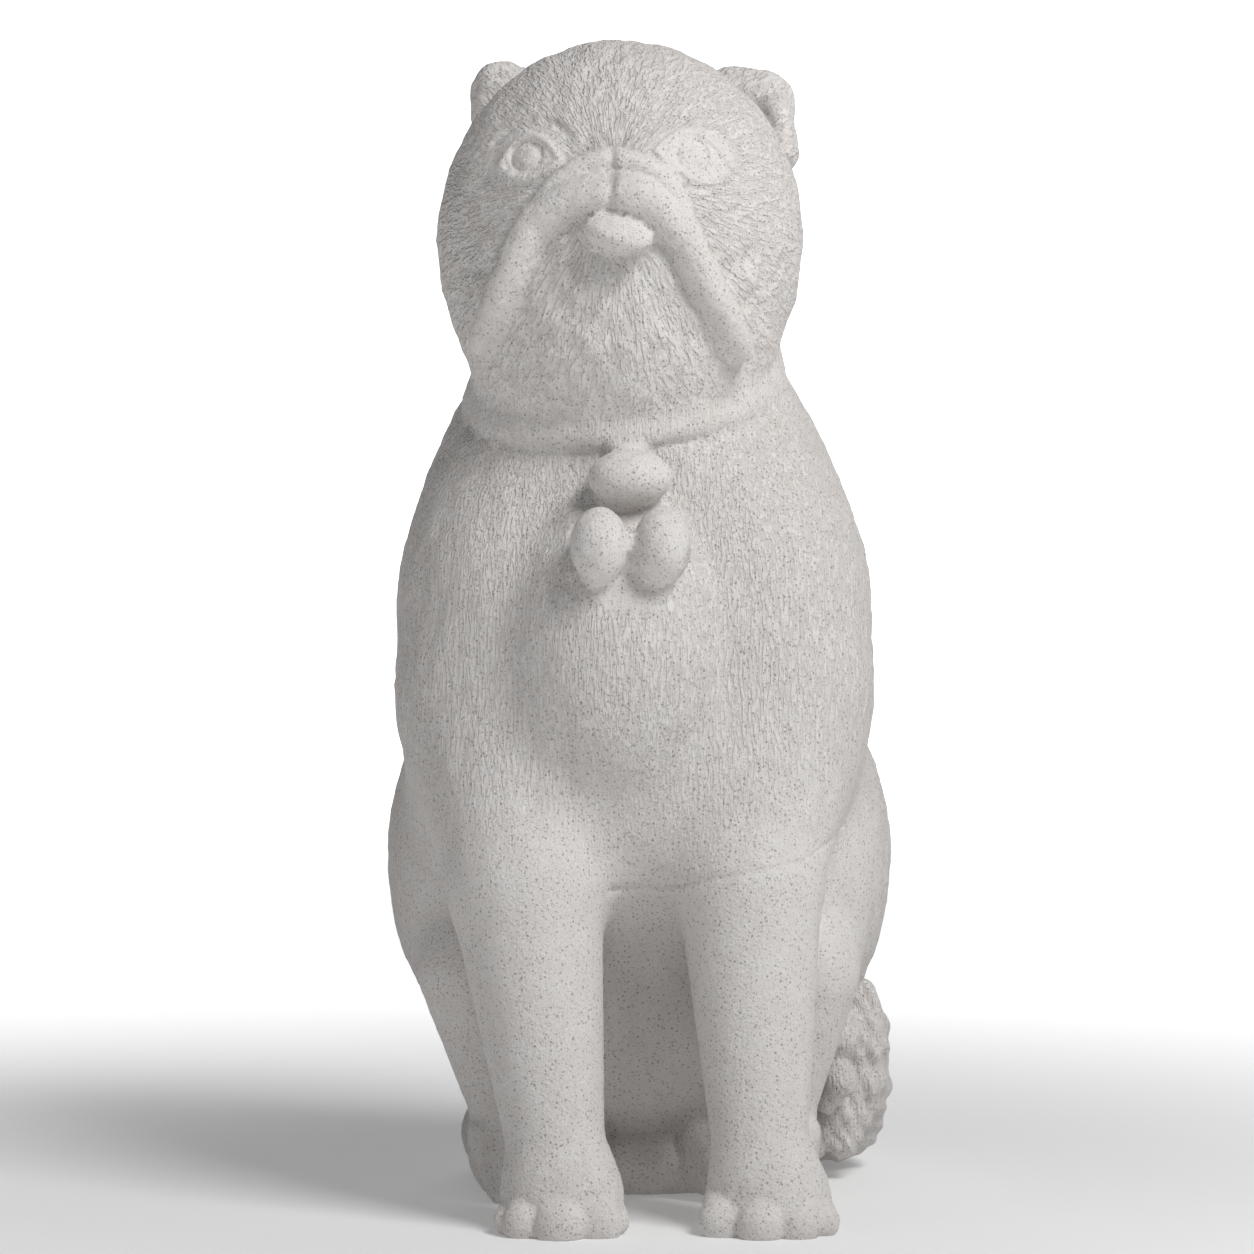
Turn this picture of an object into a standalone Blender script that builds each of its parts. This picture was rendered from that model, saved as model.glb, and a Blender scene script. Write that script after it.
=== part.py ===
"""A pug that sits upright, carved in one piece of speckled light grey granite.

It wears a rolled collar with a pendant of four balls, and its plumed tail curls round its left side
to the front. The whole statue is one solid, cut flat underneath where it stands.

The height is the one driving size. The form is free carving, so its places, radii and grooves are
written in a carver's parts, each a hundredth of the height, measured from a point on the ground under
the body: X to the dog's left, Y backwards and Z up. The dog looks along -Y.
"""
import math

import bmesh
import bpy
import numpy as np
from mathutils import Euler, Matrix, Vector

# Driving size, in metres
HEIGHT = 0.600

# Mesh fineness, in parts, and the number of faces that the finished solid may have
ROUGH_STEP = 0.75
FINE_STEP = 0.4
FACES = 9600
CARVING_WEIGHT = 0.8

# Workings of the form
FAR = 60.0
TINY = 1e-6
PROBE = 0.02
FRONT = -45.0

GRANITE = (0.60, 0.57, 0.55)

# The muzzle in the front view: the fold over the nose, the lip under it and the jowl that hangs from
# both, on the dog's right and left, and the radii along each
RIGHT_FOLD = ((-2.4, 87.6), (-4.6, 86.9), (-6.6, 85.4), (-8.2, 83.4))
LEFT_FOLD = ((-1.9, 87.6), (0.2, 87.0), (2.0, 85.7), (3.3, 83.6))
FOLD_RADII = (1.15, 1.15, 1.15, 1.1)
RIGHT_LIP = ((-3.1, 84.9), (-4.7, 84.7), (-6.4, 84.0), (-8.1, 82.7))
LEFT_LIP = ((-1.4, 84.9), (0.3, 84.5), (1.9, 83.3), (3.1, 81.6))
LIP_RADII = (1.7, 1.6, 1.4, 1.25)
RIGHT_JOWL = ((-8.4, 82.9), (-9.6, 80.4), (-10.8, 77.6), (-12.0, 75.1), (-12.9, 73.2))
LEFT_JOWL = ((3.2, 82.6), (4.6, 79.2), (6.2, 76.4), (7.5, 74.1), (8.3, 72.5))
JOWL_RADII = (1.6, 1.5, 1.4, 1.3, 1.0)
TONGUE = (-1.7, 81.5)

# The eyes: lids, rings round the irises and creases under the brows
LID_WIDTH = 0.34
LID_HEIGHT = 0.36
EYE_SWELL = 0.25
EYE_SPREAD = 2.2
IRIS_RADIUS = 1.15
RING_DEPTH = 0.3
RING_WIDTH = 0.26
BROW_DEPTH = 0.22
BROW_WIDTH = 0.3

# The line from the nose to the lips, and the collar, whose roll is flat at the sides of the neck
PHILTRUM = np.array(((-2.2, 88.6), (-2.2, 83.8)))
COLLAR_WIDTH = 1.2
COLLAR_THICK = 0.45


def soft_min(first, second, blend):
    """The smaller of two distances, with a fillet of about the blend's size where they are alike."""
    share = np.clip(0.5 + 0.5 * (second - first) / blend, 0.0, 1.0)
    return second + (first - second) * share - blend * share * (1.0 - share)


class Ball:
    """An ellipsoid: its centre, its three radii, and its turn about X, Y and Z in degrees."""

    def __init__(self, centre, radii, turn=(0, 0, 0), blend=1.5):
        self.centre = np.array(centre, float)
        self.radii = np.array(radii, float)
        self.turn = Euler([math.radians(angle) for angle in turn]).to_matrix()
        self.axes = np.array(self.turn)
        self.reach = max(radii)
        self.blend = blend

    def distance(self, points):
        local = (points - self.centre) @ self.axes
        ratio = np.linalg.norm(local / self.radii, axis=1)
        slope = np.linalg.norm(local / self.radii ** 2, axis=1) + TINY
        return ratio * (ratio - 1.0) / slope

    def build(self, mesh):
        place = Matrix.LocRotScale(Vector(self.centre), self.turn, Vector(self.radii))
        bmesh.ops.create_icosphere(mesh, subdivisions=3, radius=1.0, matrix=place)


class Limb:
    """A tapered rod with round ends, which may be flatter from front to back than it is wide."""

    def __init__(self, start, end, start_radius, end_radius, depth=1.0, blend=1.5):
        self.start = np.array(start, float)
        self.end = np.array(end, float)
        self.radii = (start_radius, end_radius)
        self.shape = np.array((1.0, depth, 1.0))
        self.centre = (self.start + self.end) / 2
        self.reach = np.linalg.norm(self.end - self.start) / 2 + max(self.radii) * max(1.0, depth)
        self.blend = blend

    def distance(self, points):
        along = self.end - self.start
        offset = points - self.start
        share = np.clip(offset @ along / (along @ along), 0.0, 1.0)
        across = (offset - share[:, None] * along) / self.shape
        radius = self.radii[0] + share * (self.radii[1] - self.radii[0])
        return (np.linalg.norm(across, axis=1) - radius) * min(self.shape)

    def build(self, mesh):
        for centre, radius in zip((self.start, self.end), self.radii):
            place = Matrix.LocRotScale(Vector(centre), None, Vector(self.shape * radius))
            bmesh.ops.create_icosphere(mesh, subdivisions=2, radius=1.0, matrix=place)
        bmesh.ops.convex_hull(mesh, input=mesh.verts[:])


def chain(points, radii, depth=1.0, blend=1.0):
    """Limbs end to end along a line of points, each end with its own radius."""
    return [
        Limb(points[i], points[i + 1], radii[i], radii[i + 1], depth, blend)
        for i in range(len(points) - 1)
    ]


def united(points, masses):
    """How far each point is outside the joined masses: below zero inside them."""
    distances = np.full(len(points), FAR)
    for mass in masses:
        gap = np.linalg.norm(points - mass.centre, axis=1) - mass.reach
        near = gap < distances + mass.blend
        distances[near] = soft_min(distances[near], mass.distance(points[near]), mass.blend)
    return distances


def slope_of(form, points, distances):
    """The direction in which the distance grows, and how fast."""
    steps = [form(points + PROBE * axis) - distances for axis in np.eye(3)]
    return np.stack(steps, axis=1) / PROBE


def touched(masses, x, z):
    """The point that a rod pushed straight in from the front meets first, and the way out of it."""
    point = np.array([[x, FRONT, z]])
    for _ in range(60):
        point[:, 1] += 0.9 * united(point, masses)
    outward = slope_of(lambda at: united(at, masses), point, united(point, masses))[0]
    return point[0], outward / np.linalg.norm(outward)


def laid(masses, path, proud):
    """A path drawn in the front view, laid on the masses and lifted proud of them."""
    lifted = []
    for x, z in path:
        point, outward = touched(masses, x, z)
        lifted.append(point + proud * outward)
    return lifted


def body():
    """Trunk, shoulders, chest, belly and rump."""
    return [
        Limb((-0.4, -0.5, 40), (-0.6, -0.5, 59.5), 20.2, 17.7, depth=0.92),
        Limb((-0.5, 1.5, 54), (0, 7.6, 20), 16.0, 17.2, blend=4),
        Ball((-9.0, -4.0, 51), (11.8, 13.5, 16), blend=3),
        Ball((8.2, -4.0, 51), (11.8, 13.5, 16), blend=3),
        Ball((-1.7, -9.5, 47.3), (11.4, 12.2, 16), blend=1.1),
        Ball((-0.4, 1.5, 26), (12.5, 10.5, 19), blend=2.5),
        Ball((0, 12.5, 7), (14.5, 14.0, 9.8), blend=2.5),
        Ball((-0.3, 4.0, 3.0), (13.0, 8.6, 4.0), blend=0.3),
    ]


def head():
    """Neck, skull and the full throat under the jaws."""
    return [
        Limb((-1.3, -2.5, 80), (-0.8, -1.5, 64), 12.4, 13.6, blend=2.2),
        Ball((-1.6, -5.6, 82.7), (15.7, 15.4, 17.1), blend=1.5),
        Ball((-2.0, -9.6, 74.5), (12.3, 10.5, 11.0), blend=3),
    ]


def forelegs():
    """Two straight forelegs, each on a paw with its toes side by side."""
    masses = [
        Limb((-11.5, -8, 43), (-9.5, -14.3, 28.3), 8.6, 6.5, blend=3.5),
        Limb((-9.5, -14.3, 28.3), (-6.8, -18.4, 6.5), 6.5, 4.0, blend=1.2),
        Limb((11.0, -8, 43), (9.2, -14.3, 28.3), 8.4, 6.1, blend=3.5),
        Limb((9.2, -14.3, 28.3), (10.0, -18.4, 6.5), 6.1, 3.9, blend=1.2),
    ]
    right_toes = [(-11.0, 0.9), (-9.4, 1.6), (-6.4, 1.95), (-3.3, 1.75), (-1.6, 0.9)]
    left_toes = [(6.7, 1.85), (9.9, 1.9), (12.9, 1.7), (15.1, 1.3)]
    for middle, toes in ((-6.3, right_toes), (10.7, left_toes)):
        masses.append(Ball((middle, -18.6, 2.7), (5.1, 4.6, 4.6), blend=2.2))
        for x, radius in toes:
            spread = (x - middle) ** 2
            front = -22.9 + 0.085 * spread
            knuckle = (0.8 * x + 0.2 * middle, front + 3.4, 4.2 - 0.07 * spread)
            masses.append(Limb((x, front, 1.2), knuckle, radius, radius, blend=0.4))
    return masses


def haunches():
    """Folded thighs with the shins and hind feet in front of them."""
    masses = []
    for side, foot in ((-1, -9.0), (1, 9.8)):
        masses += [
            Ball((13.7 * side, 7.5, 29), (8.8, 14.5, 15.6), turn=(-8, 0, 0), blend=1.6),
            Limb((12.6 * side, -3.0, 20), (foot, -1.2, 6), 6.6, 5.0, blend=1.8),
            Limb((12.0 * side, 12, 3.5), (foot, -1, 3.5), 4.2, 4.4, blend=1.2),
            Ball((foot, -1.2, 4.2), (6.0, 6.0, 5.8), blend=1.0),
        ]
        for place in (-4.0, -1.3, 1.4, 4.1):
            toe = foot + place
            masses.append(Limb((toe, -5.5, 1.5), (toe, -3.6, 5.0), 1.75, 1.9, blend=0.2))
    return masses


def ears():
    """Two small ears: the right one stands up, the left one folds and hangs."""
    return [
        Limb((-12.2, 0.5, 94.6), (-12.1, 0.8, 96.4), 2.5, 2.6, blend=0.8),
        Limb((-12.1, 0.8, 96.4), (-9.5, 1.8, 96.2), 2.6, 2.5, blend=0.8),
        Limb((8.3, 1.0, 95.5), (10.8, 0.5, 95.4), 3.2, 3.0, depth=0.8, blend=0.8),
        Limb((11.8, 0.0, 94.6), (12.6, -0.5, 90.8), 1.6, 1.4, depth=2.1, blend=0.5),
    ]


def muzzle(under):
    """Loose lips that hang from the nose like a moustache, and the tongue between them."""
    masses = []
    for fold, lip, jowl in ((RIGHT_FOLD, RIGHT_LIP, RIGHT_JOWL), (LEFT_FOLD, LEFT_LIP, LEFT_JOWL)):
        masses += chain(laid(under, fold, 0.1), FOLD_RADII, blend=0.3)
        masses += chain(laid(under, lip, 0.35), LIP_RADII, blend=0.3)
        masses += chain(laid(under, jowl, 0.1), JOWL_RADII, blend=0.5)
    middle, outward = touched(under, *TONGUE)
    masses.append(Ball(middle + 1.0 * outward, (2.9, 1.9, 1.35), turn=(25, 14, 0), blend=0.15))
    return masses


def pendant(under):
    """A knob and three balls that hang from the collar on the chest."""
    hung = []
    for x, z, radii, proud in (
        (-1.0, 63.8, (1.5, 1.4, 1.2), 0.7),
        (-0.85, 60.8, (3.55, 3.0, 2.9), 1.4),
        (-2.95, 55.5, (2.5, 2.9, 3.3), 1.5),
        (1.4, 55.6, (2.5, 2.9, 3.3), 1.5),
    ):
        point, outward = touched(under, x, z)
        hung.append(Ball(point + proud * outward, radii, blend=0.15))
    return hung


def tail():
    """A plume that leaves the rump, lies round the left side and curls up at the front."""
    plume = (
        (1, 23.0, 5), (9, 24.0, 4.5), (15.5, 20.0, 5), (17.6, 13.5, 5.6),
        (18.2, 9.5, 8.5), (18.2, 8.5, 13.0), (16.6, 10.0, 15.8),
    )
    tip = ((16.9, 4.4, 15.2), (17.9, 3.6, 13.2), (17.6, 4.0, 11.0), (17.8, 3.6, 9.3), (16.9, 4.6, 7.2))
    spur = ((13.6, 5.2, 10.6), (17.4, 4.2, 9.9))
    locks = (
        ((20.0, 6.6, 16.4), (20.9, 6.4, 12.0)), ((20.6, 7.0, 11.2), (20.7, 6.6, 8.6)),
        ((20.2, 7.2, 7.0), (18.2, 6.6, 3.4)), ((17.8, 6.0, 6.2), (15.6, 6.6, 3.4)),
    )
    masses = chain(plume, (4.5, 4.6, 4.8, 4.7, 4.3, 4.0, 3.0), blend=1.2)
    for top, foot in locks:
        masses.append(Limb(top, foot, 1.5, 1.5, blend=0.4))
    return masses + chain(tip, (1.4, 1.6, 1.3, 1.5, 1.0), blend=0.4) + chain(spur, (1.0, 1.0), blend=0.4)


def gather():
    """All masses in the order in which they join."""
    under = body() + head()
    return under + forelegs() + haunches() + ears() + muzzle(under) + pendant(under) + tail()


MASSES = gather()


def arc(start, middle, end, count=9):
    """Points along the curve that leaves start, passes middle and reaches end."""
    start, middle, end = (np.array(point, float) for point in (start, middle, end))
    pull = 2 * middle - (start + end) / 2
    shares = np.linspace(0, 1, count)[:, None]
    return (1 - shares) ** 2 * start + 2 * shares * (1 - shares) * pull + shares ** 2 * end


def from_line(flat, line):
    """How far each point of the front view is from a line of points there."""
    nearest = np.full(len(flat), FAR)
    for start, end in zip(line[:-1], line[1:]):
        along = end - start
        offset = flat - start
        share = np.clip(offset @ along / (along @ along), 0.0, 1.0)
        nearest = np.minimum(nearest, np.linalg.norm(offset - share[:, None] * along, axis=1))
    return nearest


def bump(distance, width):
    """One on the line and nothing beyond about twice the width."""
    return np.exp(-(distance / width) ** 2)


class Eye:
    """A flat iris in an almond between two raised lids, under the crease of the brow."""

    def __init__(self, iris, corners, above, below, brow):
        self.iris = np.array(iris)
        self.upper = arc(corners[0], above, corners[1])
        self.lower = arc(corners[0], below, corners[1])
        self.brow = arc(*brow)

    def relief(self, flat):
        out = np.linalg.norm(flat - self.iris, axis=1)
        lids = np.maximum(
            bump(from_line(flat, self.upper), LID_WIDTH),
            bump(from_line(flat, self.lower), LID_WIDTH),
        )
        ball = EYE_SWELL * bump(out, EYE_SPREAD)
        ring = RING_DEPTH * bump(out - IRIS_RADIUS, RING_WIDTH)
        return ball + LID_HEIGHT * lids - ring - BROW_DEPTH * bump(from_line(flat, self.brow), BROW_WIDTH)


EYES = (
    Eye(
        iris=(-9.26, 88.27), corners=((-11.6, 87.8), (-6.5, 87.8)), above=(-9.0, 90.1),
        below=(-9.5, 86.3), brow=((-12.0, 89.8), (-8.4, 91.5), (-5.7, 89.8)),
    ),
    Eye(
        iris=(4.39, 88.27), corners=((1.4, 88.5), (8.0, 87.1)), above=(4.7, 90.3),
        below=(5.0, 86.1), brow=((2.4, 91.0), (5.4, 91.5), (9.2, 87.6)),
    ),
)


def collar_height(points):
    """How far a point is above the slanting plane in which the collar lies."""
    x, y, z = points.T
    return z - (72.3 + 0.436 * (y + 1.0) + 0.09 * (x + 1.0))


def carve(points, distances):
    """Work the eyes, the philtrum and the collar into the joined masses."""
    distances = distances.copy()
    face = (points[:, 2] > 82) & (points[:, 1] < -12) & (np.abs(distances) < 3)
    flat = points[face][:, (0, 2)]
    relief = sum(eye.relief(flat) for eye in EYES)
    relief -= 0.3 * bump(from_line(flat, PHILTRUM), 0.3)
    distances[face] -= relief

    height = collar_height(points)
    roll = np.sqrt(np.clip(1.0 - (height / COLLAR_WIDTH) ** 2, 0.0, 1.0))
    roll *= np.clip((16.0 - np.abs(points[:, 0] + 1.0)) / 5.0, 0.3, 1.0)
    neck = (points[:, 2] > 58) & (points[:, 2] < 82)
    return distances - COLLAR_THICK * roll * neck


def statue(points):
    return carve(points, united(points, MASSES))


def settled(points, form, rounds):
    """Move points along the form's slope until they lie on its surface."""
    for _ in range(rounds):
        distances = form(points)
        slope = slope_of(form, points, distances)
        steepness = np.maximum((slope ** 2).sum(axis=1), 0.25)
        step = -distances / steepness
        points = points + np.clip(step, -1.0, 1.0)[:, None] * slope
    return points


def coordinates(mesh):
    values = np.empty(3 * len(mesh.vertices), np.float32)
    mesh.vertices.foreach_get("co", values)
    return values.reshape(-1, 3).astype(float)


def place(mesh, points):
    mesh.vertices.foreach_set("co", points.astype(np.float32).ravel())
    mesh.update()


def keep_face(dog):
    """Mark the carved face and pendant, so that most of the thinning falls on the plain stone."""
    points = coordinates(dog.data)
    x, y, z = points.T
    face = (z > 79) & (np.abs(x + 2.4) < 11.5)
    hung = (z > 51) & (z < 66) & (np.abs(x + 0.9) < 5.2)
    fine = (y < -11) & (face | hung)
    group = dog.vertex_groups.new(name="carving")
    group.add(np.flatnonzero(fine).tolist(), CARVING_WEIGHT, "REPLACE")
    group.add(np.flatnonzero(~fine).tolist(), 0.0, "REPLACE")


def with_modifier(dog, kind, **settings):
    """Give the object one modifier and keep its result as the object's mesh."""
    modifier = dog.modifiers.new(kind.title(), kind)
    for name, value in settings.items():
        setattr(modifier, name, value)
    graph = bpy.context.evaluated_depsgraph_get()
    result = bpy.data.meshes.new_from_object(dog.evaluated_get(graph))
    dog.modifiers.clear()
    dog.data = result
    return result


def cut_flat(mesh):
    """Cut the statue off at the ground and close each cut with one flat face."""
    work = bmesh.new()
    work.from_mesh(mesh)
    everything = work.verts[:] + work.edges[:] + work.faces[:]
    bmesh.ops.bisect_plane(
        work, geom=everything, dist=1e-5, plane_co=(0, 0, 0), plane_no=(0, 0, -1), clear_outer=True,
    )
    rim = [edge for edge in work.edges if edge.is_boundary]
    bmesh.ops.holes_fill(work, edges=rim, sides=0)
    bmesh.ops.triangulate(work, faces=work.faces[:])
    work.to_mesh(mesh)
    work.free()


def stone():
    material = bpy.data.materials.new("granite")
    material.use_nodes = True
    shader = material.node_tree.nodes["Principled BSDF"]
    shader.inputs["Base Color"].default_value = (*GRANITE, 1.0)
    shader.inputs["Roughness"].default_value = 0.85
    shader.inputs["Metallic"].default_value = 0.0
    return material


def carve_dog():
    block = bpy.data.meshes.new("seated_pug")
    work = bmesh.new()
    for mass in MASSES:
        lump = bmesh.new()
        mass.build(lump)
        lump.to_mesh(block)
        lump.free()
        work.from_mesh(block)
    work.to_mesh(block)
    work.free()
    dog = bpy.data.objects.new("seated_pug", block)
    bpy.context.scene.collection.objects.link(dog)

    mesh = with_modifier(dog, "REMESH", mode="VOXEL", voxel_size=ROUGH_STEP)
    place(mesh, settled(coordinates(mesh), statue, 3))
    mesh = with_modifier(dog, "REMESH", mode="VOXEL", voxel_size=FINE_STEP)
    place(mesh, settled(coordinates(mesh), statue, 2))
    keep_face(dog)
    mesh = with_modifier(
        dog, "DECIMATE", ratio=FACES / (2 * len(mesh.polygons)), use_collapse_triangulate=True,
        vertex_group="carving", invert_vertex_group=True,
    )
    cut_flat(mesh)

    points = coordinates(mesh)
    centre = (points.min(axis=0) + points.max(axis=0)) / 2
    points[:, :2] -= centre[:2]
    place(mesh, points * HEIGHT / points[:, 2].max())
    mesh.materials.append(stone())
    mesh.shade_smooth()
    mesh.set_sharp_from_angle(angle=math.radians(50))
    return dog


for old in list(bpy.data.objects):
    bpy.data.objects.remove(old)

carve_dog()
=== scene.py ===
import math

import bmesh
import bpy
import numpy as np
from mathutils import Euler, Matrix, Vector


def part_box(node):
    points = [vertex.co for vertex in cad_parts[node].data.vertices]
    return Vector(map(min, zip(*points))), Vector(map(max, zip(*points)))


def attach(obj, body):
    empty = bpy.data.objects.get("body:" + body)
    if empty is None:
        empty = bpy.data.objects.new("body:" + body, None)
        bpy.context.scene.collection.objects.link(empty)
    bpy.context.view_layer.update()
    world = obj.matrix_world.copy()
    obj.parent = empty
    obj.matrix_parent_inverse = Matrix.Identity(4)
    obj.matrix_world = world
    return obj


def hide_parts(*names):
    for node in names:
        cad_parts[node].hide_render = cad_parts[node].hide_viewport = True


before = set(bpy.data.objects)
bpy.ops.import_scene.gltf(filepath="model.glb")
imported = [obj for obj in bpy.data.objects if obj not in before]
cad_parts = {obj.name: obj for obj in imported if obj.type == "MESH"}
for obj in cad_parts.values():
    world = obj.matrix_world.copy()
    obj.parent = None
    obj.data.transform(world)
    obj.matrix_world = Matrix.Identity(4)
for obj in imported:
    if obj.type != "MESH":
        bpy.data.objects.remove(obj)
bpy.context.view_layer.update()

# A pug that sits upright, carved in one piece of speckled light grey granite. It wears a rolled collar
# with a pendant of four balls, and its plumed tail curls round its left side to the front.
#
# The form is worked in a carver's parts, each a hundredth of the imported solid's height, measured from a
# point on the ground under the body: X to the dog's left, Y backwards and Z up. It looks along -Y.
LOW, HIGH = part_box("seated_pug")
HEIGHT = HIGH.z - LOW.z
PART = HEIGHT / 100

# Mesh fineness, in parts
ROUGH_STEP = 0.75
FINE_STEP = 0.67

# Workings of the form
FAR = 60.0
TINY = 1e-6
PROBE = 0.02
FRONT = -45.0

# The muzzle in the front view: the fold over the nose, the lip under it and the jowl that hangs from
# both, on the dog's right and left, and the radii along each
RIGHT_FOLD = ((-2.4, 87.6), (-4.6, 86.9), (-6.6, 85.4), (-8.2, 83.4))
LEFT_FOLD = ((-1.9, 87.6), (0.2, 87.0), (2.0, 85.7), (3.3, 83.6))
FOLD_RADII = (1.15, 1.15, 1.15, 1.1)
RIGHT_LIP = ((-3.1, 84.9), (-4.7, 84.7), (-6.4, 84.0), (-8.1, 82.7))
LEFT_LIP = ((-1.4, 84.9), (0.3, 84.5), (1.9, 83.3), (3.1, 81.6))
LIP_RADII = (1.7, 1.6, 1.4, 1.25)
RIGHT_JOWL = ((-8.4, 82.9), (-9.6, 80.4), (-10.8, 77.6), (-12.0, 75.1), (-12.9, 73.2))
LEFT_JOWL = ((3.2, 82.6), (4.6, 79.2), (6.2, 76.4), (7.5, 74.1), (8.3, 72.5))
JOWL_RADII = (1.35, 1.5, 1.4, 1.3, 1.0)
TONGUE = (-1.7, 81.5)

# The eyes: lids, rings round the irises and creases under the brows
LID_WIDTH = 0.27
LID_HEIGHT = 0.3
EYE_SWELL = 0.25
EYE_SPREAD = 2.2
IRIS_RADIUS = 1.25
RING_DEPTH = 0.26
RING_WIDTH = 0.17
BROW_DEPTH = 0.22
BROW_WIDTH = 0.3
EYE_SPAN = (3.3, 2.2)

# The line from the nose to the lips, and the collar, whose roll is flat at the sides of the neck
PHILTRUM = np.array(((-2.2, 88.6), (-2.2, 83.8)))
COLLAR_WIDTH = 1.2
COLLAR_THICK = 0.45


# Where the coat's strokes leave the face, and how far round it they keep the same width
BRIDGE = (-2.2, 85.8)
CHEEK_SPAN = 8.0

# The seam of the two halves, seen from the front, and its cut
SEAM = np.array(((17.5, 32.4), (13.6, 30.3), (9.9, 29.6), (6.5, 28.9), (3.3, 28.2), (-2.2, 27.6)))
SEAM_DEPTH = 0.16
SEAM_WIDTH = 0.22

def soft_min(first, second, blend):
    """The smaller of two distances, with a fillet of about the blend's size where they are alike."""
    share = np.clip(0.5 + 0.5 * (second - first) / blend, 0.0, 1.0)
    return second + (first - second) * share - blend * share * (1.0 - share)


class Ball:
    """An ellipsoid: its centre, its three radii, and its turn about X, Y and Z in degrees."""

    def __init__(self, centre, radii, turn=(0, 0, 0), blend=1.5):
        self.centre = np.array(centre, float)
        self.radii = np.array(radii, float)
        self.turn = Euler([math.radians(angle) for angle in turn]).to_matrix()
        self.axes = np.array(self.turn)
        self.reach = max(radii)
        self.blend = blend

    def distance(self, points):
        local = (points - self.centre) @ self.axes
        ratio = np.linalg.norm(local / self.radii, axis=1)
        slope = np.linalg.norm(local / self.radii ** 2, axis=1) + TINY
        return ratio * (ratio - 1.0) / slope

    def build(self, mesh):
        place = Matrix.LocRotScale(Vector(self.centre), self.turn, Vector(self.radii))
        bmesh.ops.create_icosphere(mesh, subdivisions=3, radius=1.0, matrix=place)


class Limb:
    """A tapered rod with round ends, which may be flatter from front to back than it is wide."""

    def __init__(self, start, end, start_radius, end_radius, depth=1.0, blend=1.5):
        self.start = np.array(start, float)
        self.end = np.array(end, float)
        self.radii = (start_radius, end_radius)
        self.shape = np.array((1.0, depth, 1.0))
        self.centre = (self.start + self.end) / 2
        self.reach = np.linalg.norm(self.end - self.start) / 2 + max(self.radii) * max(1.0, depth)
        self.blend = blend

    def distance(self, points):
        along = self.end - self.start
        offset = points - self.start
        share = np.clip(offset @ along / (along @ along), 0.0, 1.0)
        across = (offset - share[:, None] * along) / self.shape
        radius = self.radii[0] + share * (self.radii[1] - self.radii[0])
        return (np.linalg.norm(across, axis=1) - radius) * min(self.shape)

    def build(self, mesh):
        for centre, radius in zip((self.start, self.end), self.radii):
            place = Matrix.LocRotScale(Vector(centre), None, Vector(self.shape * radius))
            bmesh.ops.create_icosphere(mesh, subdivisions=2, radius=1.0, matrix=place)
        bmesh.ops.convex_hull(mesh, input=mesh.verts[:])


def chain(points, radii, depth=1.0, blend=1.0):
    """Limbs end to end along a line of points, each end with its own radius."""
    return [
        Limb(points[i], points[i + 1], radii[i], radii[i + 1], depth, blend)
        for i in range(len(points) - 1)
    ]


def united(points, masses):
    """How far each point is outside the joined masses: below zero inside them."""
    distances = np.full(len(points), FAR)
    for mass in masses:
        gap = np.linalg.norm(points - mass.centre, axis=1) - mass.reach
        near = gap < distances + mass.blend
        distances[near] = soft_min(distances[near], mass.distance(points[near]), mass.blend)
    return distances


def slope_of(form, points, distances):
    """The direction in which the distance grows, and how fast."""
    steps = [form(points + PROBE * axis) - distances for axis in np.eye(3)]
    return np.stack(steps, axis=1) / PROBE


def touched(masses, x, z):
    """The point that a rod pushed straight in from the front meets first, and the way out of it."""
    point = np.array([[x, FRONT, z]])
    for _ in range(60):
        point[:, 1] += 0.9 * united(point, masses)
    outward = slope_of(lambda at: united(at, masses), point, united(point, masses))[0]
    return point[0], outward / np.linalg.norm(outward)


def laid(masses, path, proud):
    """A path drawn in the front view, laid on the masses and lifted proud of them."""
    lifted = []
    for x, z in path:
        point, outward = touched(masses, x, z)
        lifted.append(point + proud * outward)
    return lifted


def dense(line, count=3):
    """The same line of points or radii with more steps, rounded at its corners."""
    line = np.array(line, float)
    old = np.arange(len(line))
    new = np.linspace(0, len(line) - 1, count * (len(line) - 1) + 1)
    columns = line.reshape(len(line), -1).T
    steps = np.stack([np.interp(new, old, column) for column in columns], axis=1)
    steps[1:-1] = (steps[:-2] + 2 * steps[1:-1] + steps[2:]) / 4
    return steps.reshape((len(new),) + line.shape[1:])


def body():
    """Trunk, shoulders, chest, belly and rump."""
    return [
        Limb((-0.4, -0.5, 40), (-0.6, -0.5, 59.5), 20.2, 17.7, depth=0.92),
        Limb((-0.5, 1.5, 54), (0, 7.6, 20), 16.0, 17.2, blend=4),
        Ball((-9.0, -4.0, 51), (11.8, 13.5, 16), blend=3),
        Ball((8.2, -4.0, 51), (11.8, 13.5, 16), blend=3),
        Ball((-1.7, -10.1, 47.4), (11.3, 12.4, 16.3), blend=0.8),
        Ball((-0.4, 1.5, 26), (12.5, 10.5, 19), blend=2.5),
        Ball((0, 12.5, 7), (14.5, 14.0, 9.8), blend=2.5),
        Ball((-0.3, 4.0, 3.0), (13.0, 8.6, 4.0), blend=0.3),
    ]


def head():
    """Neck, skull and the full throat under the jaws."""
    return [
        Limb((-1.3, -2.5, 80), (-0.8, -1.5, 64), 12.4, 13.6, blend=2.2),
        Ball((-1.6, -5.6, 82.7), (15.7, 15.4, 17.1), blend=1.5),
        Ball((-2.0, -9.6, 74.5), (12.3, 10.5, 11.0), blend=3),
    ]


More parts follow.
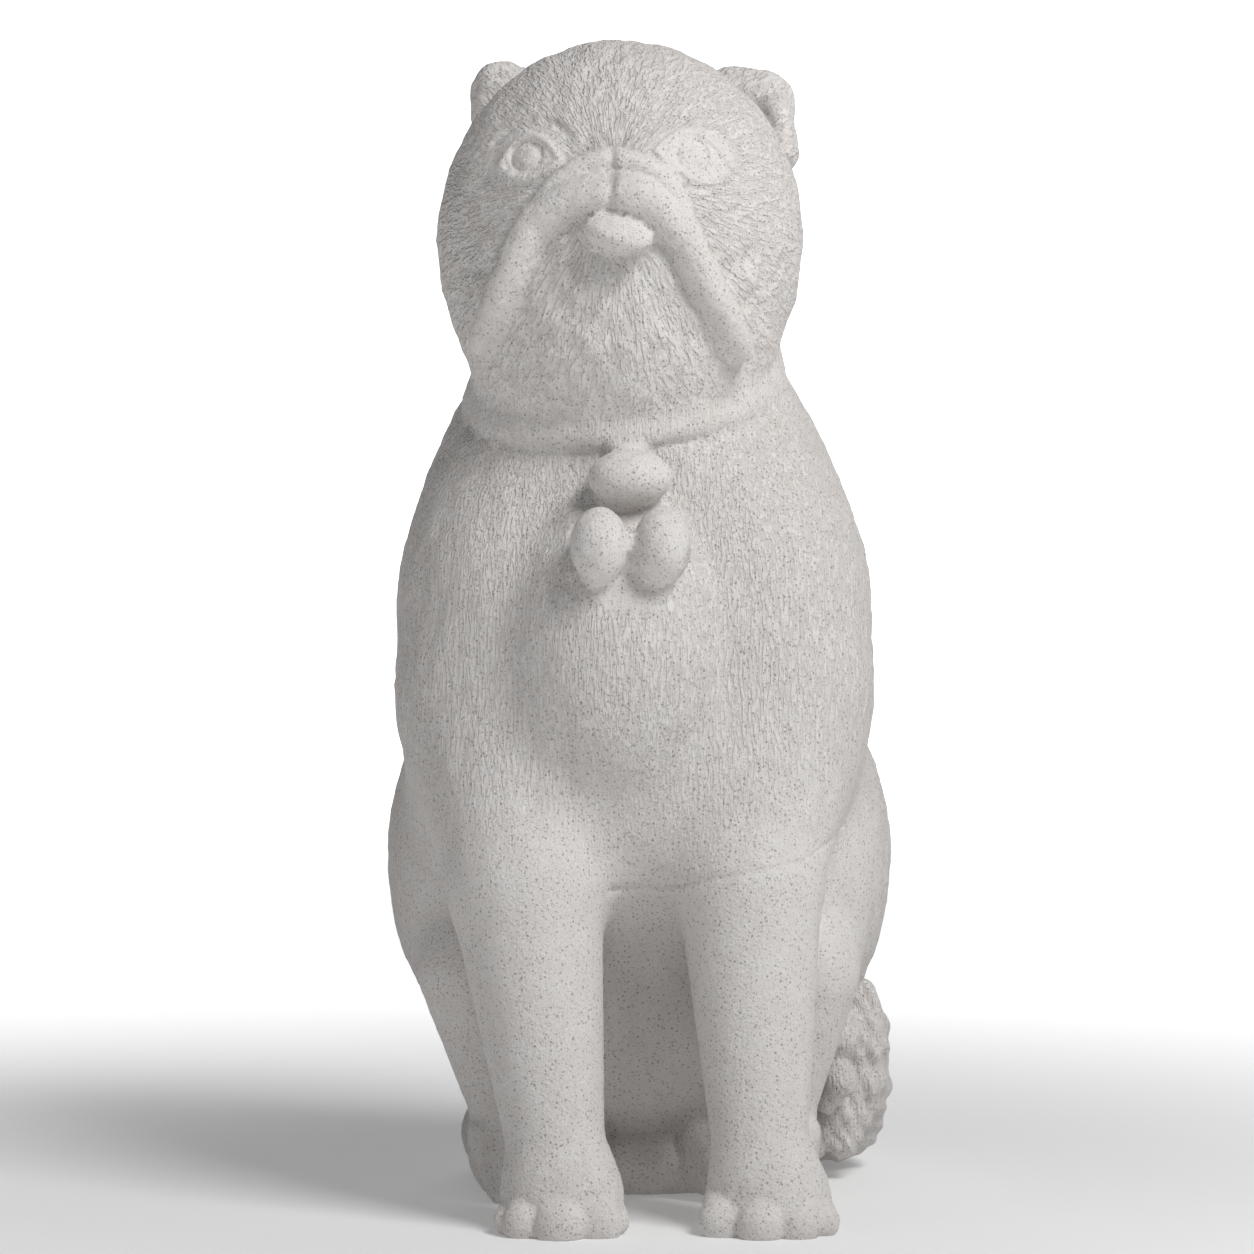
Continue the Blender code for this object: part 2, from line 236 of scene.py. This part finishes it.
def forelegs():
    """Two straight forelegs, each on a paw with its toes side by side."""
    masses = [
        Limb((-11.5, -8, 43), (-9.5, -14.3, 28.3), 8.6, 6.5, blend=3.5),
        Limb((-9.5, -14.3, 28.3), (-6.8, -18.4, 6.5), 6.5, 4.0, blend=1.2),
        Limb((11.0, -8, 43), (9.2, -14.3, 28.3), 8.4, 6.1, blend=3.5),
        Limb((9.2, -14.3, 28.3), (10.0, -18.4, 6.5), 6.1, 3.9, blend=1.2),
    ]
    right_toes = [(-10.8, 1.1), (-9.3, 1.8), (-6.4, 2.2), (-3.3, 2.0), (-1.8, 1.1)]
    left_toes = [(6.8, 2.0), (9.9, 2.05), (12.9, 1.9), (15.0, 1.4)]
    for middle, toes in ((-6.3, right_toes), (10.7, left_toes)):
        masses.append(Ball((middle, -18.6, 2.7), (5.1, 4.6, 4.6), blend=2.2))
        for x, radius in toes:
            spread = (x - middle) ** 2
            front = -22.9 + 0.085 * spread
            knuckle = (0.8 * x + 0.2 * middle, front + 3.4, 4.2 - 0.07 * spread)
            masses.append(Limb((x, front, 1.0), knuckle, radius, radius, depth=0.75, blend=0.1))
    return masses


def haunches():
    """Folded thighs with the shins and hind feet in front of them."""
    masses = []
    for side, foot in ((-1, -9.0), (1, 9.8)):
        masses += [
            Ball((13.7 * side, 7.5, 29), (8.8, 14.5, 15.6), turn=(-8, 0, 0), blend=1.6),
            Limb((12.6 * side, -3.0, 20), (foot, -1.2, 6), 6.6, 5.0, blend=1.8),
            Limb((12.0 * side, 12, 3.5), (foot, -1, 3.5), 4.2, 4.4, blend=1.2),
            Ball((foot, -1.2, 4.2), (6.0, 6.0, 5.8), blend=1.0),
        ]
        for place in (-4.0, -1.3, 1.4, 4.1):
            sole, knuckle = (foot + 0.62 * place, -5.5, 1.4), (foot + place, -3.6, 5.6)
            masses.append(Limb(sole, knuckle, 1.75, 1.9, blend=0.25))
    return masses


def ears():
    """Two small ears: the right one stands up, the left one folds and hangs."""
    return [
        Limb((-12.2, 0.5, 94.6), (-12.1, 0.8, 96.4), 2.5, 2.6, blend=0.8),
        Limb((-12.1, 0.8, 96.4), (-9.5, 1.8, 96.2), 2.6, 2.5, blend=0.8),
        Limb((8.3, 1.0, 95.5), (10.8, 0.5, 95.4), 3.2, 3.0, depth=0.8, blend=0.8),
        Limb((11.8, 0.0, 94.6), (12.6, -0.5, 90.8), 1.6, 1.4, depth=2.1, blend=0.5),
    ]


def muzzle(under):
    """Loose lips that hang from the nose like a moustache, and the tongue between them."""
    masses = []
    for fold, lip, jowl in ((RIGHT_FOLD, RIGHT_LIP, RIGHT_JOWL), (LEFT_FOLD, LEFT_LIP, LEFT_JOWL)):
        rolls = (fold, FOLD_RADII, 0.1), (lip, LIP_RADII, 0.4), (jowl, JOWL_RADII, 0.35)
        for line, radii, proud in rolls:
            masses += chain(laid(under, dense(line), proud), dense(radii), blend=0.3)
    middle, outward = touched(under, *TONGUE)
    masses.append(Ball(middle + 0.9 * outward, (2.9, 2.0, 1.4), turn=(25, 14, 0), blend=0.3))
    return masses


def pendant(under):
    """A knob and three balls that hang from the collar on the chest."""
    hung = []
    for x, z, radii, proud in (
        (-1.0, 63.9, (1.4, 1.3, 0.95), 1.0),
        (-0.85, 60.7, (3.45, 2.9, 2.35), 1.7),
        (-3.0, 55.5, (2.35, 2.7, 3.15), 1.6),
        (1.4, 55.5, (2.35, 2.7, 3.15), 1.6),
    ):
        point, outward = touched(under, x, z)
        hung.append(Ball(point + proud * outward, radii, blend=0.15))
    return hung


def tail():
    """A plume that leaves the rump, lies round the left side and curls up at the front."""
    plume = (
        (1, 23.0, 5), (9, 24.0, 4.5), (15.5, 20.0, 5), (17.6, 13.5, 5.6),
        (18.2, 9.5, 8.5), (18.2, 8.5, 13.0), (16.6, 10.0, 15.8),
    )
    tip = ((17.0, 3.8, 15.4), (17.9, 2.8, 13.2), (17.3, 3.4, 11.2), (17.8, 2.8, 9.4), (16.6, 4.0, 7.2))
    spur = ((13.6, 5.2, 10.6), (17.4, 4.2, 9.9))
    locks = (
        ((20.0, 6.6, 16.4), (20.9, 6.4, 12.0)), ((20.6, 7.0, 11.2), (20.7, 6.6, 8.6)),
        ((20.2, 7.2, 7.0), (18.2, 6.6, 3.4)), ((17.8, 6.0, 6.2), (15.6, 6.6, 3.4)),
    )
    masses = chain(plume, (4.5, 4.6, 4.8, 4.7, 4.3, 4.0, 3.0), blend=1.2)
    for top, foot in locks:
        masses.append(Limb(top, foot, 1.5, 1.5, blend=0.4))
    return masses + chain(tip, (1.4, 1.6, 1.3, 1.5, 1.0), blend=0.4) + chain(spur, (1.0, 1.0), blend=0.4)


def gather():
    """All masses in the order in which they join."""
    under = body() + head()
    return under + forelegs() + haunches() + ears() + muzzle(under) + pendant(under) + tail()


MASSES = gather()

# How far forward the breast is where the pendant hangs, so that the collar passes behind the balls
BREAST = touched(body() + head(), -0.9, 63.0)[0][1]


def arc(start, middle, end, count=9):
    """Points along the curve that leaves start, passes middle and reaches end."""
    start, middle, end = (np.array(point, float) for point in (start, middle, end))
    pull = 2 * middle - (start + end) / 2
    shares = np.linspace(0, 1, count)[:, None]
    return (1 - shares) ** 2 * start + 2 * shares * (1 - shares) * pull + shares ** 2 * end


def from_line(flat, line):
    """How far each point of the front view is from a line of points there."""
    nearest = np.full(len(flat), FAR)
    for start, end in zip(line[:-1], line[1:]):
        along = end - start
        offset = flat - start
        share = np.clip(offset @ along / (along @ along), 0.0, 1.0)
        nearest = np.minimum(nearest, np.linalg.norm(offset - share[:, None] * along, axis=1))
    return nearest


def bump(distance, width):
    """One on the line and nothing beyond about twice the width."""
    return np.exp(-(distance / width) ** 2)


class Eye:
    """A flat iris in an almond between two raised lids, under the crease of the brow."""

    def __init__(self, iris, corners, above, below, brow):
        self.iris = np.array(iris)
        self.upper = arc(corners[0], above, corners[1])
        self.lower = arc(corners[0], below, corners[1])
        self.brow = arc(*brow)

    def relief(self, flat):
        out = np.linalg.norm(flat - self.iris, axis=1)
        lids = np.maximum(
            bump(from_line(flat, self.upper), LID_WIDTH),
            bump(from_line(flat, self.lower), LID_WIDTH),
        )
        ball = EYE_SWELL * bump(out, EYE_SPREAD)
        ring = RING_DEPTH * bump(out - IRIS_RADIUS, RING_WIDTH)
        ring += 0.4 * RING_DEPTH * bump(out - 0.72 * IRIS_RADIUS, RING_WIDTH)
        return ball + LID_HEIGHT * lids - ring - BROW_DEPTH * bump(from_line(flat, self.brow), BROW_WIDTH)


EYES = (
    Eye(
        iris=(-9.26, 88.27), corners=((-11.6, 87.8), (-6.5, 87.8)), above=(-9.0, 90.1),
        below=(-9.5, 86.3), brow=((-12.0, 89.8), (-8.4, 91.5), (-5.7, 89.8)),
    ),
    Eye(
        iris=(4.39, 88.27), corners=((1.4, 88.5), (8.0, 87.1)), above=(4.7, 90.3),
        below=(5.0, 86.1), brow=((2.4, 91.0), (5.4, 91.5), (9.2, 87.6)),
    ),
)


def collar_height(points):
    """How far a point is above the slanting plane in which the collar lies."""
    x, y, z = points.T
    return z - (72.3 + 0.436 * (y + 1.0) + 0.09 * (x + 1.0))


def carve(points, distances):
    """Work the eyes, the philtrum and the collar into the joined masses."""
    distances = distances.copy()
    face = (points[:, 2] > 82) & (points[:, 1] < -12) & (np.abs(distances) < 3)
    flat = points[face][:, (0, 2)]
    relief = sum(eye.relief(flat) for eye in EYES)
    relief -= 0.3 * bump(from_line(flat, PHILTRUM), 0.3)
    distances[face] -= relief

    height = collar_height(points)
    roll = np.sqrt(np.clip(1.0 - (height / COLLAR_WIDTH) ** 2, 0.0, 1.0))
    roll *= np.clip((16.0 - np.abs(points[:, 0] + 1.0)) / 5.0, 0.3, 1.0)
    neck = (points[:, 2] > 58) & (points[:, 2] < 82)
    crease = 0.2 * bump(height + COLLAR_WIDTH + 0.1, 0.3)
    neck &= (points[:, 1] > BREAST - 0.7) | (np.abs(points[:, 0] + 0.9) > 4.5)
    return distances - (COLLAR_THICK * roll - crease) * neck


def statue(points):
    """How far each point is outside the carved statue."""
    return carve(points, united(points, MASSES))


def settled(points, form, rounds):
    """Move points along the form's slope until they lie on its surface."""
    for _ in range(rounds):
        distances = form(points)
        slope = slope_of(form, points, distances)
        steepness = np.maximum((slope ** 2).sum(axis=1), 0.25)
        step = -distances / steepness
        points = points + np.clip(step, -1.0, 1.0)[:, None] * slope
    return points


def coordinates(mesh):
    """The places of the mesh's points, one to a row."""
    values = np.empty(3 * len(mesh.vertices), np.float32)
    mesh.vertices.foreach_get("co", values)
    return values.reshape(-1, 3).astype(float)


def place(mesh, points):
    """Move the mesh's points to new places."""
    mesh.vertices.foreach_set("co", points.astype(np.float32).ravel())
    mesh.update()


def with_modifier(dog, kind, **settings):
    """Give the object one modifier and keep its result as the object's mesh."""
    modifier = dog.modifiers.new(kind.title(), kind)
    for name, value in settings.items():
        setattr(modifier, name, value)
    graph = bpy.context.evaluated_depsgraph_get()
    result = bpy.data.meshes.new_from_object(dog.evaluated_get(graph))
    dog.modifiers.clear()
    dog.data = result
    return result


def cut_flat(mesh):
    """Cut the statue off at the ground and close each cut with one flat face."""
    work = bmesh.new()
    work.from_mesh(mesh)
    everything = work.verts[:] + work.edges[:] + work.faces[:]
    bmesh.ops.bisect_plane(
        work, geom=everything, dist=1e-5, plane_co=(0, 0, 0), plane_no=(0, 0, -1), clear_outer=True,
    )
    rim = [edge for edge in work.edges if edge.is_boundary]
    bmesh.ops.holes_fill(work, edges=rim, sides=0)
    bmesh.ops.triangulate(work, faces=work.faces[:])
    work.to_mesh(mesh)
    work.free()


def waves(points, spacing, seed, count=12):
    """A gentle random swell, about as long as the spacing and mostly between minus one and one."""
    draw = np.random.default_rng(seed)
    headings = draw.normal(size=(count, 3))
    headings *= 2 * math.pi / spacing / np.linalg.norm(headings, axis=1)[:, None]
    phases = draw.uniform(0, 2 * math.pi, count)
    return np.sin(points @ headings.T + phases).sum(axis=1) * math.sqrt(2 / count)


def ramp(values, low, high):
    """Zero below low, one above high, and smooth between them; high may be the smaller one."""
    share = np.clip((values - low) / (high - low), 0.0, 1.0)
    return share * share * (3.0 - 2.0 * share)


def strokes(points):
    """Coordinates for the coat on the head, where it fans out from the bridge of the nose."""
    x, y, z = points.T
    away = np.stack((x - BRIDGE[0], z - BRIDGE[1]), axis=1)
    reach = np.linalg.norm(away, axis=1) + TINY
    fan = CHEEK_SPAN * away / reach[:, None]
    return np.stack((fan[:, 0], fan[:, 1], reach + y + 20), axis=1)


def muzzle_share(points):
    """One on the lips and jowls, which are nearly bare, and nothing on the rest of the head."""
    flat = points[:, (0, 2)]
    bare = np.zeros(len(points))
    folds = (RIGHT_FOLD, 1.2), (LEFT_FOLD, 1.2)
    lips = (RIGHT_LIP, 1.8), (LEFT_LIP, 1.8), (RIGHT_JOWL, 1.5), (LEFT_JOWL, 1.5)
    for line, width in folds + lips:
        bare = np.maximum(bare, ramp(from_line(flat, np.array(line)), width + 0.3, width - 0.2))
    tongue = np.linalg.norm((flat - TONGUE) / (3.0, 1.6), axis=1)
    return np.maximum(bare, tongue < 1.1) * (points[:, 1] < -9)


def head_share(points):
    """One above the collar and nothing below it."""
    return ramp(collar_height(points), 1.0, 3.0) * (points[:, 2] > 60)


def fur_share(points):
    """How deep the coat is cut: full on the head, chest, back and tail, nearly none on legs and pendant."""
    x, y, z = points.T
    fur = ramp(z, 24, 44) * 0.85
    fur = np.maximum(fur, ramp(y, -6, 2) * 0.8)
    fur = np.maximum(fur, head_share(points))
    for eye in EYES:
        out = np.hypot((x - eye.iris[0]) / EYE_SPAN[0], (z - eye.iris[1]) / EYE_SPAN[1])
        fur *= 1 - ramp(out, 1.25, 0.95) * (y < -9)
    fur *= 1 - 0.85 * muzzle_share(points)
    hung = (z > 51) & (z < 65.5) & (np.hypot(x + 0.8, (z - 58.5) * 0.62) < 5.0) & (y < -18)
    fur[hung] *= 0.15
    collar = bump(collar_height(points), 1.4) * (z > 58) * (z < 82)
    return np.clip(fur * (1 - 0.55 * collar), 0.05, 1.0)


def tail_share(points):
    """One on the plume of the tail."""
    x, y, z = points.T
    return ramp(x, 13.2, 14.6) * ramp(y, 1.5, 3.5) * ramp(z, 22, 17) * ramp(y, 17, 12)


def relief(points):
    """The swell of the coat and the strands of the tail, in parts, out of the surface."""
    x, y, z = points.T
    fan = strokes(points) * (1.0, 1.0, 0.4)
    upright = points * (1.0, 1.0, 0.35)
    head = head_share(points)
    fur = fur_share(points)
    coat = head * waves(fan, 2.2, 11) + (1 - head) * waves(upright, 2.6, 12)
    height = 0.05 * fur * coat + 0.03 * fur * waves(points, 1.7, 13)
    throat = ramp(z, 84, 80) * ramp(z, 70, 74) * (np.abs(x + 2) < 12) * (y < -10)
    throat *= 1 - muzzle_share(points)
    height += 0.09 * throat * waves(points, 2.6, 14)
    plume = tail_share(points)
    sweep = x + 0.6 * z + 0.3 * waves(points, 9, 15)
    height += 0.11 * plume * np.sin(2 * math.pi * sweep / 1.7)
    behind = ramp(z, 13, 10) * ramp(y, 12, 17) * (1 - plume)
    height += 0.1 * behind * np.sin(2 * math.pi * (z + 0.5 * waves(points, 12, 16)) / 1.9)
    spine = bump(x, 1.6) * ramp(y, 4, 8) * ramp(z, 70, 60) * ramp(z, 12, 25)
    height -= 0.25 * spine
    height += 0.02 * waves(points, 1.1, 17)
    seam = bump(from_line(points[:, (0, 2)], SEAM), SEAM_WIDTH) * (y < 2)
    return height - SEAM_DEPTH * seam


def carved_closely(points):
    """Where the carving needs a mesh of half the step: face, ears, pendant, paws, tail and seam."""
    x, y, z = points.T
    face = (z > 71) & (y < -8) & (np.abs(x + 1.9) < 14.5)
    ears = (z > 89) & ((x < -8.5) | (x > 7)) & (y > -4)
    hung = (z > 51) & (z < 66) & (np.abs(x + 0.8) < 5.5) & (y < -15)
    paws = (z < 7.5) & (y < -12) | (z < 7) & (y < -2.5)
    plume = (tail_share(points) > 0.1) & (y < 13)
    seam = (from_line(points[:, (0, 2)], SEAM) < 0.8) & (y < 0)
    return face | ears | hung | paws | plume | seam


def carved_finely(points):
    """Where it needs a quarter of the step: eyes, muzzle and seam."""
    x, y, z = points.T
    face = (z > 79.5) & (y < -13) & (np.abs(x + 2.3) < 11.5) & (z < 92.5)
    seam = (from_line(points[:, (0, 2)], SEAM) < 0.5) & (y < 0)
    return face | seam


def refined(mesh, chosen):
    """Halve the edges of the mesh in the places that a test chooses."""
    inside = chosen(coordinates(mesh))
    work = bmesh.new()
    work.from_mesh(mesh)
    edges = [edge for edge in work.edges if all(inside[corner.index] for corner in edge.verts)]
    bmesh.ops.subdivide_edges(work, edges=edges, cuts=1, use_grid_fill=True)
    work.to_mesh(mesh)
    work.free()


def eased(mesh):
    """Even out the corners of the mesh a little, so that sharp creases don't fray."""
    work = bmesh.new()
    work.from_mesh(mesh)
    axes = {"use_axis_x": True, "use_axis_y": True, "use_axis_z": True}
    bmesh.ops.smooth_vert(work, verts=work.verts[:], factor=0.35, **axes)
    work.to_mesh(mesh)
    work.free()


def keep_share(mesh, name, values):
    """Store one number for each point, which the stone's shader reads."""
    mesh.attributes.new(name=name, type="FLOAT", domain="POINT")
    mesh.attributes[name].data.foreach_set("value", values.astype(np.float32))


def carve_dog():
    """Join the masses, carve them, work the coat into them and set the statue where the solid stands."""
    block = bpy.data.meshes.new("pug_statue")
    work = bmesh.new()
    for mass in MASSES:
        lump = bmesh.new()
        mass.build(lump)
        lump.to_mesh(block)
        lump.free()
        work.from_mesh(block)
    work.to_mesh(block)
    work.free()
    dog = bpy.data.objects.new("pug_statue", block)
    bpy.context.scene.collection.objects.link(dog)

    mesh = with_modifier(dog, "REMESH", mode="VOXEL", voxel_size=ROUGH_STEP)
    place(mesh, settled(coordinates(mesh), statue, 3))
    mesh = with_modifier(dog, "REMESH", mode="VOXEL", voxel_size=FINE_STEP)
    place(mesh, settled(coordinates(mesh), statue, 2))
    refined(mesh, carved_closely)
    refined(mesh, carved_finely)
    place(mesh, settled(coordinates(mesh), statue, 2))
    eased(mesh)
    place(mesh, settled(coordinates(mesh), statue, 1))
    eased(mesh)

    points = coordinates(mesh)
    normals = np.empty(3 * len(points), np.float32)
    mesh.vertices.foreach_get("normal", normals)
    place(mesh, points + relief(points)[:, None] * normals.reshape(-1, 3))
    cut_flat(mesh)

    points = coordinates(mesh)
    keep_share(mesh, "fur", fur_share(points))
    keep_share(mesh, "head", head_share(points))
    mesh.attributes.new(name="fan", type="FLOAT_VECTOR", domain="POINT")
    mesh.attributes["fan"].data.foreach_set("vector", strokes(points).astype(np.float32).ravel())
    low, high = points.min(axis=0), points.max(axis=0)
    middle = (low + high) / 2
    points[:, :2] -= middle[:2]
    points *= HEIGHT / high[2]
    centre = (LOW + HIGH) / 2
    points[:, 0] += centre.x
    points[:, 1] += centre.y
    place(mesh, points)
    mesh.shade_smooth()
    return dog


class Signal:
    """A socket of the shader, on which arithmetic adds Math nodes."""

    def __init__(self, shader, socket):
        self.shader = shader
        self.socket = socket

    def math(self, operation, *others):
        """This socket and others through one Math node."""
        return self.shader.node("ShaderNodeMath", {"operation": operation}, (self, *others))

    def __add__(self, other):
        return self.math("ADD", other)

    def __sub__(self, other):
        return self.math("SUBTRACT", other)

    def __rsub__(self, other):
        return self.shader.node("ShaderNodeMath", {"operation": "SUBTRACT"}, (other, self))

    def __mul__(self, other):
        return self.math("MULTIPLY", other)

    def ramp(self, low, high):
        """Zero at low, one at high and smooth between."""
        settings = {"interpolation_type": "SMOOTHSTEP"}
        inputs = {"Value": self, "From Min": low, "From Max": high}
        return self.shader.node("ShaderNodeMapRange", settings, inputs)

    __radd__ = __add__
    __rmul__ = __mul__


class Shader:
    """The nodes of one material."""

    def __init__(self, name):
        self.material = bpy.data.materials.new(name)
        self.material.use_nodes = True
        self.tree = self.material.node_tree
        self.surface = self.tree.nodes["Principled BSDF"]

    def node(self, kind, settings, inputs, output=0):
        """Make a node, set it up, feed its sockets by place or by name, and give one of its outputs."""
        made = self.tree.nodes.new(kind)
        for name, value in settings.items():
            setattr(made, name, value)
        pairs = inputs.items() if isinstance(inputs, dict) else enumerate(inputs)
        for socket, value in pairs:
            self.feed(made.inputs[socket], value)
        return Signal(self, made.outputs[output])

    def feed(self, socket, value):
        """Link a socket to a signal, or set it to a plain value."""
        if isinstance(value, Signal):
            self.tree.links.new(value.socket, socket)
        else:
            socket.default_value = value

    def mix(self, share, first, second):
        """The first colour where the share is zero and the second where it is one."""
        return self.node("ShaderNodeMix", {"data_type": "RGBA"}, {0: share, 6: first, 7: second}, 2)

    def scaled(self, vector, by):
        """The vector with each part multiplied by its own number."""
        return self.node("ShaderNodeVectorMath", {"operation": "MULTIPLY"}, (vector, by))

    def noise(self, vector, scale, detail, rough=0.5):
        """Soft random cloud, around a half."""
        inputs = {"Vector": vector, "Scale": scale, "Detail": detail, "Roughness": rough}
        return self.node("ShaderNodeTexNoise", {}, inputs)

    def attribute(self, name, output):
        """What the mesh stores at its points: output 1 is a vector and 2 a number."""
        return self.node("ShaderNodeAttribute", {"attribute_name": name}, (), output)


# The granite's colours: its ground, its pale crystals, its warm clouds and its dark grains; and the
# painted shade that darkens the grooves between the strokes of the coat
GROUND = (0.64, 0.615, 0.595, 1)
PALE = (0.72, 0.705, 0.69, 1)
CLOUD = (0.60, 0.52, 0.48, 1)
GRAIN = (0.20, 0.175, 0.16, 1)
PAINTED_SHADE = (0.34, 0.31, 0.29, 1)
CLOUD_SHARE = 0.25
PAINTED_SHADE_SHARE = 0.22

# How often the chisel's marks repeat in a part, and how they are drawn out along the strokes
STROKE_SCALE = 4.2
FAN_STRETCH = (1.0, 1.0, 0.17)
UPRIGHT_STRETCH = (1.0, 1.0, 0.18)
ROUGH_SCALE = 3.4
CUT_DEPTH = 0.0014

# The dark grains, large and small: how many to a part, their size, how many cells have none, and
# how dark they are; and how far their outlines are stirred, in parts
GRAINS = ((2.4, 0.22, 0.30, 0.60), (4.6, 0.27, 0.42, 0.50))
STIR = 0.16


def granite():
    """Pale speckled stone, worked with short strokes of the chisel where the dog has a coat, with painted
    shade darkening the grooves between the strokes.
    """
    stone = Shader("granite")
    place_in_parts = stone.scaled(stone.node("ShaderNodeTexCoord", {}, (), 3), (1 / PART,) * 3)
    fur = stone.attribute("fur", 2)
    head = stone.attribute("head", 2)
    fan = stone.attribute("fan", 1)

    fanned = stone.noise(stone.scaled(fan, FAN_STRETCH), STROKE_SCALE, 2.0, 0.6)
    upright = stone.noise(stone.scaled(place_in_parts, UPRIGHT_STRETCH), STROKE_SCALE, 2.0, 0.6)
    coat = head * fanned + (1 - head) * upright
    cut = coat.ramp(0.36, 0.60)
    rough = stone.noise(place_in_parts, ROUGH_SCALE, 3.0, 0.6)

    fine = stone.noise(place_in_parts, 7.0, 2.0).ramp(0.35, 0.7)
    broad = stone.noise(place_in_parts, 0.5, 2.0).ramp(0.3, 0.7)
    colour = stone.mix(fine, GROUND, PALE)
    colour = stone.mix(broad * CLOUD_SHARE, colour, CLOUD)
    stir = stone.node("ShaderNodeTexNoise", {}, {"Vector": place_in_parts, "Scale": 6.0}, 1)
    ragged = stone.node(
        "ShaderNodeVectorMath", {"operation": "ADD"}, (place_in_parts, stone.scaled(stir, (STIR,) * 3)),
    )
    for scale, size, share, strength in GRAINS:
        inputs = {"Vector": ragged, "Scale": scale}
        cells = stone.node("ShaderNodeTexVoronoi", {}, inputs)
        spots = cells.ramp(size + 0.07, size - 0.04)
        lot = Signal(stone, cells.socket.node.outputs["Color"])
        chosen = stone.node("ShaderNodeSeparateXYZ", {}, (lot,)).ramp(share, share + 0.1)
        colour = stone.mix(spots * chosen * strength, colour, GRAIN)
    # Painted shade: the grooves between the chisel strokes of the coat are darkened in the colour
    painted_shade = (1 - cut) * fur
    colour = stone.mix(painted_shade * PAINTED_SHADE_SHARE, colour, PAINTED_SHADE)

    height = cut * fur * 0.8 + rough * (1.0 - 0.4 * fur)
    normal = stone.node("ShaderNodeBump", {}, {"Strength": 0.7, "Distance": CUT_DEPTH, "Height": height})
    surface = stone.surface
    stone.feed(surface.inputs["Base Color"], colour)
    stone.feed(surface.inputs["Normal"], normal)
    surface.inputs["Roughness"].default_value = 0.82
    surface.inputs["Specular IOR Level"].default_value = 0.3
    return stone.material


# The studio, in metres: where the lamps and the camera stand, what they look at, and their settings
CHEST = (0, 0, 0.36)
KEY_PLACE, KEY_SIZE, KEY_POWER = (1.1, -1.25, 1.95), 0.9, 46
FILL_PLACE, FILL_SIZE, FILL_POWER = (-1.9, -1.1, 1.0), 1.2, 4
SKY, SKY_STRENGTH = (0.95, 0.97, 1, 1), 0.1
# The floor's painted light: its glow, dim near the dog and brighter further out, and the distances in
# metres over which it brightens
NEAR_GLOW, FAR_GLOW = (0.16, 0.16, 0.16, 1), (0.70, 0.70, 0.70, 1)
GLOW_START, GLOW_END = 0.2, 1.1
CAMERA_PLACE = (0, -1.812, 0.2972)
SENSOR, LENS, SHIFT = 36.0, 98.15, -0.0112


def panel(name, size, where, turn, base):
    """One plain square of the studio, such as its floor. Gives its paint, whose glow is still to be set."""
    mesh = bpy.data.meshes.new(name)
    work = bmesh.new()
    bmesh.ops.create_grid(work, x_segments=1, y_segments=1, size=size / 2)
    bmesh.ops.rotate(work, verts=work.verts[:], matrix=Matrix.Rotation(math.radians(turn), 3, "X"))
    bmesh.ops.translate(work, verts=work.verts[:], vec=where)
    work.to_mesh(mesh)
    work.free()
    paint = Shader(name)
    surface = paint.surface
    surface.inputs["Base Color"].default_value = (base, base, base, 1)
    surface.inputs["Roughness"].default_value = 0.9
    surface.inputs["Emission Strength"].default_value = 1.0
    mesh.materials.append(paint.material)
    made = bpy.data.objects.new(name, mesh)
    bpy.context.scene.collection.objects.link(made)
    return paint


def lamp(name, where, target, size, power):
    """A soft square lamp that looks at a point."""
    light = bpy.data.lights.new(name, "AREA")
    light.shape = "SQUARE"
    light.size = size
    light.energy = power
    made = bpy.data.objects.new(name, light)
    made.location = where
    made.rotation_euler = (Vector(target) - Vector(where)).to_track_quat("-Z", "Y").to_euler()
    bpy.context.scene.collection.objects.link(made)


def studio():
    """A pale floor that glows as painted light, dim near the dog and brighter further out, an evenly
    glowing backdrop, a soft key lamp from the upper right and a weak light from all round.
    """
    floor = panel("floor", 7.0, (0, 0, LOW.z), 0, 0.7)
    offset = floor.scaled(floor.node("ShaderNodeTexCoord", {}, (), 3), (1, 1, 0))
    away = floor.node("ShaderNodeVectorMath", {"operation": "LENGTH"}, (offset,), 1)
    # Painted light: the floor glows dimly near the dog and brighter further out
    painted_floor_glow = floor.mix(away.ramp(GLOW_START, GLOW_END), NEAR_GLOW, FAR_GLOW)
    floor.feed(floor.surface.inputs["Emission Color"], painted_floor_glow)
    backdrop = panel("backdrop", 3.2, (0, 3.45, 1.0), 90, 0.8)
    backdrop.surface.inputs["Emission Color"].default_value = (0.95, 0.95, 0.95, 1)
    lamp("key_lamp", KEY_PLACE, CHEST, KEY_SIZE, KEY_POWER)
    lamp("fill_lamp", FILL_PLACE, CHEST, FILL_SIZE, FILL_POWER)
    world = bpy.data.worlds.new("studio")
    world.use_nodes = True
    sky = world.node_tree.nodes["Background"]
    sky.inputs["Color"].default_value = SKY
    sky.inputs["Strength"].default_value = SKY_STRENGTH
    bpy.context.scene.world = world
    bpy.context.scene.view_settings.view_transform = "Standard"


def camera():
    """Level, at the height of the elbows, where the photographer stood."""
    lens = bpy.data.cameras.new("camera")
    lens.sensor_width = SENSOR
    lens.lens = LENS
    lens.shift_x = SHIFT
    made = bpy.data.objects.new("camera", lens)
    made.location = CAMERA_PLACE
    made.rotation_euler = (math.radians(90), 0, 0)
    bpy.context.scene.collection.objects.link(made)
    bpy.context.scene.camera = made


dog = carve_dog()
dog.data.materials.append(granite())
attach(dog, "root")
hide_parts("seated_pug")
studio()
camera()
